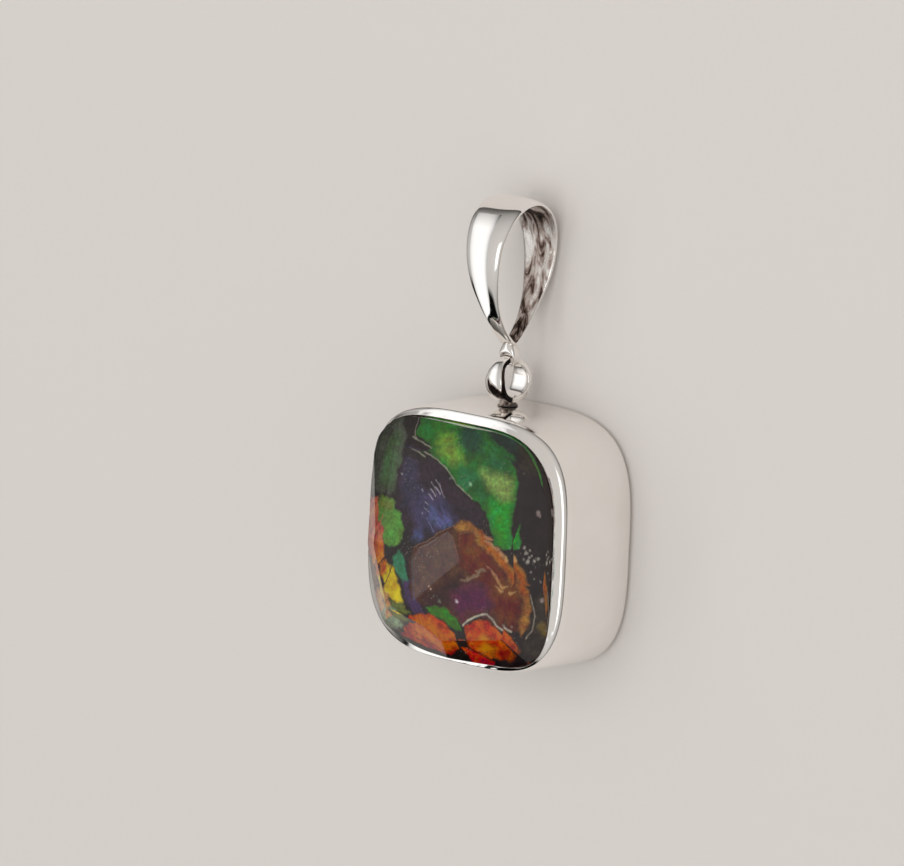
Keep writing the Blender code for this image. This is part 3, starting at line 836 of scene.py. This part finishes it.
def laid_over(base, cover, tint):
    """Paints a tint over the colours where cover is 1, and lets them through where it is 0."""
    cover = np.clip(cover, 0, 1)[:, None]
    return base * (1 - cover) + cover * np.array(linear(tint))


data = slab.data
spots = np.empty(len(data.vertices) * 3)
data.vertices.foreach_get("co", spots)
spots = spots.reshape(-1, 3)[:, :2] / MM
noise.seed_set(NOISE_SEED)
ragged, finer = waves(spots, COARSE_WAVES, 4.0), waves(spots, FINE_WAVES, 9.0)
warped = spots + 0.16 * ragged + 0.06 * finer
colour = np.tile(np.array(linear(SHALE)), (len(spots), 1))
for _, tint, soft, outline in PATCHES:
    colour = laid_over(colour, 0.5 - edge_distance(warped, outline) / soft, tint)
for _, tint, wide, line in CRACKS:
    near = edge_distance(spots + 0.06 * ragged + 0.02 * finer, line + line[-2:0:-1])
    colour = laid_over(colour, 1.2 - np.abs(near) / (0.5 * wide), tint)
for x, y, radius, tint in SPOTS:
    near = np.hypot(*(spots + 0.07 * finer - (x, y)).T)
    colour = laid_over(colour, 1.4 - near / radius, tint)
layer = data.color_attributes.new("mosaic", "FLOAT_COLOR", "POINT")
layer.data.foreach_set("color", colour.astype(np.float32).ravel())
print("painted", len(spots), "vertices")

# %% [markdown]
# ## Ammolite finish
# Nacre is polished before it is capped, so it gives the eye deep colour with little shine of its
# own, uneven at about a millimetre and again at a fifth of one, with hair cracks round plates of
# about 1.5 mm. The vertices are too far apart to carry that, so noises in the shader do.

# %% Ammolite finish
SHADED = {"data_type": "RGBA", "blend_type": "MULTIPLY"}
COVERED = {"data_type": "RGBA", "blend_type": "MIX"}
tree = plate_material.node_tree
shader = tree.nodes["Principled BSDF"]
shader.inputs["Roughness"].default_value = 0.4
shader.inputs["Specular IOR Level"].default_value = 0.15
where = add(tree, "ShaderNodeTexCoord").outputs["Object"]
mosaic = add(tree, "ShaderNodeVertexColor", {"layer_name": "mosaic"}).outputs["Color"]
coarse = add(tree, "ShaderNodeTexNoise", Vector=where, Scale=1100.0, Detail=3.0).outputs["Fac"]
fine = add(tree, "ShaderNodeTexNoise", Vector=where, Scale=4200.0, Detail=5.0, Roughness=0.7).outputs["Fac"]
hue = add(
    tree, "ShaderNodeMapRange", Value=coarse, From_Min=0.3, From_Max=0.7, To_Min=0.475, To_Max=0.525,
).outputs["Result"]
play = add(
    tree, "ShaderNodeHueSaturation", Color=mosaic, Hue=hue, Saturation=1.05, Value=3.0,
).outputs["Color"]
fine_shade = add(
    tree, "ShaderNodeValToRGB", Fac=fine, stops=((0.30, "a8a8a8"), (0.70, "ffffff")),
).outputs["Color"]
coarse_shade = add(
    tree, "ShaderNodeValToRGB", Fac=coarse, stops=((0.32, "b2b2b2"), (0.62, "ffffff")),
).outputs["Color"]
grained = add(tree, "ShaderNodeMix", SHADED, {0: 1.0, 6: play, 7: fine_shade}).outputs[2]
clouded = add(tree, "ShaderNodeMix", SHADED, {0: 0.8, 6: grained, 7: coarse_shade}).outputs[2]

# Hair cracks, darkest at a plate's very edge.
plates = add(
    tree, "ShaderNodeTexVoronoi", {"feature": "DISTANCE_TO_EDGE"}, Vector=where, Scale=650.0,
).outputs["Distance"]
crack = add(
    tree, "ShaderNodeMapRange", Value=plates, From_Min=0.0, From_Max=0.02, To_Min=0.18, To_Max=0.0,
).outputs["Result"]
cracked = add(tree, "ShaderNodeMix", COVERED, {0: crack, 6: clouded, 7: linear("1a1411")}).outputs[2]

# Flecks of broken nacre a tenth of a millimetre across, gathered in patches of about 2 mm.
flecks = add(tree, "ShaderNodeTexVoronoi", Vector=where, Scale=4600.0).outputs["Distance"]
fleck = add(
    tree, "ShaderNodeMapRange", Value=flecks, From_Min=0.10, From_Max=0.26, To_Min=0.8, To_Max=0.0,
).outputs["Result"]
patch = add(tree, "ShaderNodeTexNoise", Vector=where, Scale=520.0, Detail=2.0).outputs["Fac"]
gathered = add(
    tree, "ShaderNodeMapRange", Value=patch, From_Min=0.54, From_Max=0.66, To_Min=0.0, To_Max=1.0,
).outputs["Result"]
shown = add(tree, "ShaderNodeMath", {"operation": "MULTIPLY"}, {0: fleck, 1: gathered}).outputs[0]
flecked = add(tree, "ShaderNodeMix", COVERED, {0: shown, 6: cracked, 7: linear("b9b5a8")}).outputs[2]
tree.links.new(flecked, shader.inputs["Base Color"])
print("ammolite finish:", len(tree.nodes), "nodes")

# %% [markdown]
# ## Ring
# The ring is a short band of silver stood on edge and soldered to the box. It is narrow where the
# bail rides and wide at its front. A torus would be even all round, so a rounded section is carried
# round the loop and made narrower or wider on the way, then softened with subdivision. Black is
# painted into its silver: painted shade on the ring's near edge and, as a crescent low on the front
# of its band, a painted dark reflection.

# %% Ring
AXIS = Vector((0.0, 9.55, 2.78))
RING_STEPS = 48
# The band's width in mm for each turn in degrees, from the bail round to the box.
RING_WIDTHS = ((0, .68), (30, .72), (45, .8), (62, 1.1), (90, 1.45), (125, 1.4), (180, 1.1))
# The section: across as a share of half the width, and the reach from the axis in mm.
RING_PROFILE = (
    (-0.8, 1.06), (-0.97, 1.09), (-1.0, 1.17), (-1.0, 1.29), (-0.97, 1.39), (-0.87, 1.45),
    (-0.50, 1.475), (0.0, 1.48), (0.50, 1.475), (0.87, 1.45), (0.97, 1.39), (1.0, 1.29),
    (1.0, 1.17), (0.97, 1.09), (0.8, 1.06), (0.0, 1.06),
)
# The crescent of painted dark reflection: its middle and half height in degrees of turn, for each place
# across the band.
CRESCENT_SHADE_MIDDLE = ((-1.0, 60), (-0.87, 72), (-0.5, 104), (0.0, 118), (1.0, 126))
CRESCENT_SHADE_HALF = ((-1.0, -10), (-0.87, 4), (-0.5, 22), (0.0, 24), (1.0, 17))
# The painted shade on the near edge: its middle and half length in degrees of turn, and how fast the painted
# black deepens per degree.
EDGE_SHADE_MIDDLE, EDGE_SHADE_HALF, SHADE_PER_DEGREE = 92, 82, 0.15


def between(table, place):
    """Straight-line reading of a table of (place, value)."""
    for (low, first), (high, second) in zip(table, table[1:]):
        if place <= high:
            return first + (second - first) * (place - low) / (high - low)
    return table[-1][1]


def ring_painted_shade(place, rank):
    """How dark the ring's painted shade and painted dark reflection are; below 0 the silver is clean, and 0
    is their outline.
    """
    (across, reach), turn = RING_PROFILE[place], 360 / RING_STEPS * rank
    # The near edge: painted shade.
    if across > 0.96:
        return min(DARKEST_MARK, SHADE_PER_DEGREE * (EDGE_SHADE_HALF - abs(turn - EDGE_SHADE_MIDDLE)))
    if reach < 1.3:
        return -1.5
    # The band's front: a crescent of painted dark reflection.
    inside = between(CRESCENT_SHADE_HALF, across) - abs(turn - between(CRESCENT_SHADE_MIDDLE, across))
    return min(DARKEST_MARK, SHADE_PER_DEGREE * inside)


rows = []
for step in range(RING_STEPS):
    turn = 2 * math.pi * step / RING_STEPS
    out = Vector((0.0, math.cos(turn), math.sin(turn)))
    half = 0.5 * between(RING_WIDTHS, min(math.degrees(turn), 360 - math.degrees(turn)))
    rows.append([AXIS + out * reach + Vector((half * across, 0, 0)) for across, reach in RING_PROFILE])
ring = piece(extruded(rows, closed=True), "silver_ring", "pendant", ring_silver, 60, rounds=2)
# Painted shade on the near edge and a painted dark reflection as a crescent, both painted black into the
# silver.
mark_tarnish_and_shade(ring, ring_painted_shade)
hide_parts("bail_ring")

# %% [markdown]
# ## Solder foot
# A short foot of solder joins the ring to the box: an oval pad against the wall that narrows toward
# the ring. A cylinder with bevels would be round, so an oval is carried from the wall to the ring.

# %% Solder foot
FOOT_STEPS = 24
FOOT_HALF_WIDTH, FOOT_HALF_DEPTH = 0.68, 0.62
# Where each oval lies along Y in mm, and its share of the pad's full size.
FOOT_OVALS = ((7.9, 1.0), (7.94, 1.0), (7.99, 0.95), (8.05, 0.85), (8.13, 0.7), (8.22, 0.5))
rows = []
for along, share in FOOT_OVALS:
    row = []
    for step in range(FOOT_STEPS):
        turn = 2 * math.pi * step / FOOT_STEPS
        side, deep = FOOT_HALF_WIDTH * share * math.cos(turn), FOOT_HALF_DEPTH * share * math.sin(turn)
        row.append(Vector((side, along, AXIS.z - deep)))
    rows.append(row)
foot = piece(extruded(rows, closed=False), "solder_foot", "pendant", ring_silver, 60, rounds=1)
mark_tarnish_and_shade(foot, lambda place, rank: 0.9)

# %% [markdown]
# ## Bail
# The bail is one bent band, drop-shaped from the side, that a chain passes through. It grows wider
# toward its top. Its outside is flat at the left and rounded at the right, and polished; its inside
# was never reached by the wheel. As the ring was, it is a section carried round a loop, here with
# the drop's outline as its path.

# %% Bail
BAIL_STEPS = 96
BAIL_START, BAIL_END, BAIL_FRONT, BAIL_REAR = 1.95, 11.25, 3.0, 2.66
BAIL_WALL, TIP_WALL, BAIL_POINT = 0.4, 0.32, 0.62
# The band's width in mm for each share of the way from the drop's tip to its top.
BAIL_WIDTHS = (
    (0.0, 1.0), (0.1, 1.08), (0.2, 1.28), (0.3, 1.58), (0.41, 2.03), (0.52, 2.4), (0.62, 2.65),
    (0.73, 2.88), (0.85, 3.2), (1.0, 3.4),
)
# The section: across as a share of half the width, and lift from the inside, 0, to the outside, 1.
BAIL_PROFILE = (
    (-0.9, 0.0), (-1.0, 0.08), (-1.0, 0.60), (-0.96, 0.84), (-0.86, 0.95), (-0.5, 0.99), (0.0, 1.0),
    (0.35, 0.985), (0.65, 0.88), (0.87, 0.68), (1.0, 0.38), (1.0, 0.08), (0.9, 0.0), (0.4, 0.0),
    (-0.4, 0.0),
)


def teardrop(turn, start, end, inset):
    """A point on a drop-shaped loop in the YZ plane, its tip at the lower end."""
    along = start + (end - start) * (1 - math.cos(turn)) / 2
    widest = 2 * math.atan(math.sqrt(1 + BAIL_POINT))
    fullest = math.sin(widest) * math.sin(widest / 2) ** BAIL_POINT
    reach = (BAIL_FRONT if turn < math.pi else BAIL_REAR) - inset
    fullness = math.sin(turn) * abs(math.sin(turn / 2)) ** BAIL_POINT / fullest
    return Vector((0.0, along, reach * fullness))


rows = []
for step in range(BAIL_STEPS):
    turn = 2 * math.pi * step / BAIL_STEPS
    high = teardrop(turn, BAIL_START, BAIL_END, 0.0)
    low = teardrop(turn, BAIL_START + TIP_WALL, BAIL_END - BAIL_WALL, BAIL_WALL)
    half = 0.5 * between(BAIL_WIDTHS, (high.y - BAIL_START) / (BAIL_END - BAIL_START))
    rows.append([
        AXIS + low.lerp(high, lift) + Vector((half * across, 0, 0)) for across, lift in BAIL_PROFILE
    ])
bail = piece(extruded(rows, closed=True), "silver_bail", "bail", bail_silver, 60, rounds=1)
mark_tarnish_and_shade(bail, lambda place, rank: 0.0 if BAIL_PROFILE[place][1] else 1.0)
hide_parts("bail")

# %% [markdown]
# ## Eye of the bail
# Below the drop a small loop holds the ring. It lies flat, at right angles to the ring, so that the
# two hang in each other as links of a chain do. It is thin below, where it passes through the ring,
# and deeper above, where it joins the drop. A torus couldn't change its depth on the way round, so
# this is one more section carried round a loop.

# %% Eye of the bail
EYE_STEPS = 32
EYE_THIN, EYE_DEEPER = 0.42, 0.38
# The section: lift from the hole, 0, to the outside, 1, and the side as a share of half the depth.
EYE_PROFILE = (
    (0.0, -0.7), (0.2, -0.97), (0.5, -1.0), (0.8, -0.9), (1.0, -0.5),
    (1.0, 0.5), (0.8, 0.9), (0.5, 1.0), (0.2, 0.97), (0.0, 0.7),
)


def eye_edge(turn, low, high, half_width):
    """A point on an oval in the XY plane, from its lower end round to its upper end and back."""
    along = 0.5 * (low + high) - 0.5 * (high - low) * math.cos(turn)
    return Vector((half_width * math.sin(turn), along, 0.0))


rows = []
for step in range(EYE_STEPS):
    turn = 2 * math.pi * step / EYE_STEPS
    near = eye_edge(turn, 0.92, 1.55, 0.50)
    far = eye_edge(turn, 0.70, 2.35, 0.64)
    half = 0.5 * (EYE_THIN + EYE_DEEPER * (0.5 - 0.5 * math.cos(turn)))
    rows.append([AXIS + near.lerp(far, lift) + Vector((0, 0, half * side)) for lift, side in EYE_PROFILE])
eye = piece(extruded(rows, closed=True), "bail_eye", "bail", bail_silver, 60, rounds=1)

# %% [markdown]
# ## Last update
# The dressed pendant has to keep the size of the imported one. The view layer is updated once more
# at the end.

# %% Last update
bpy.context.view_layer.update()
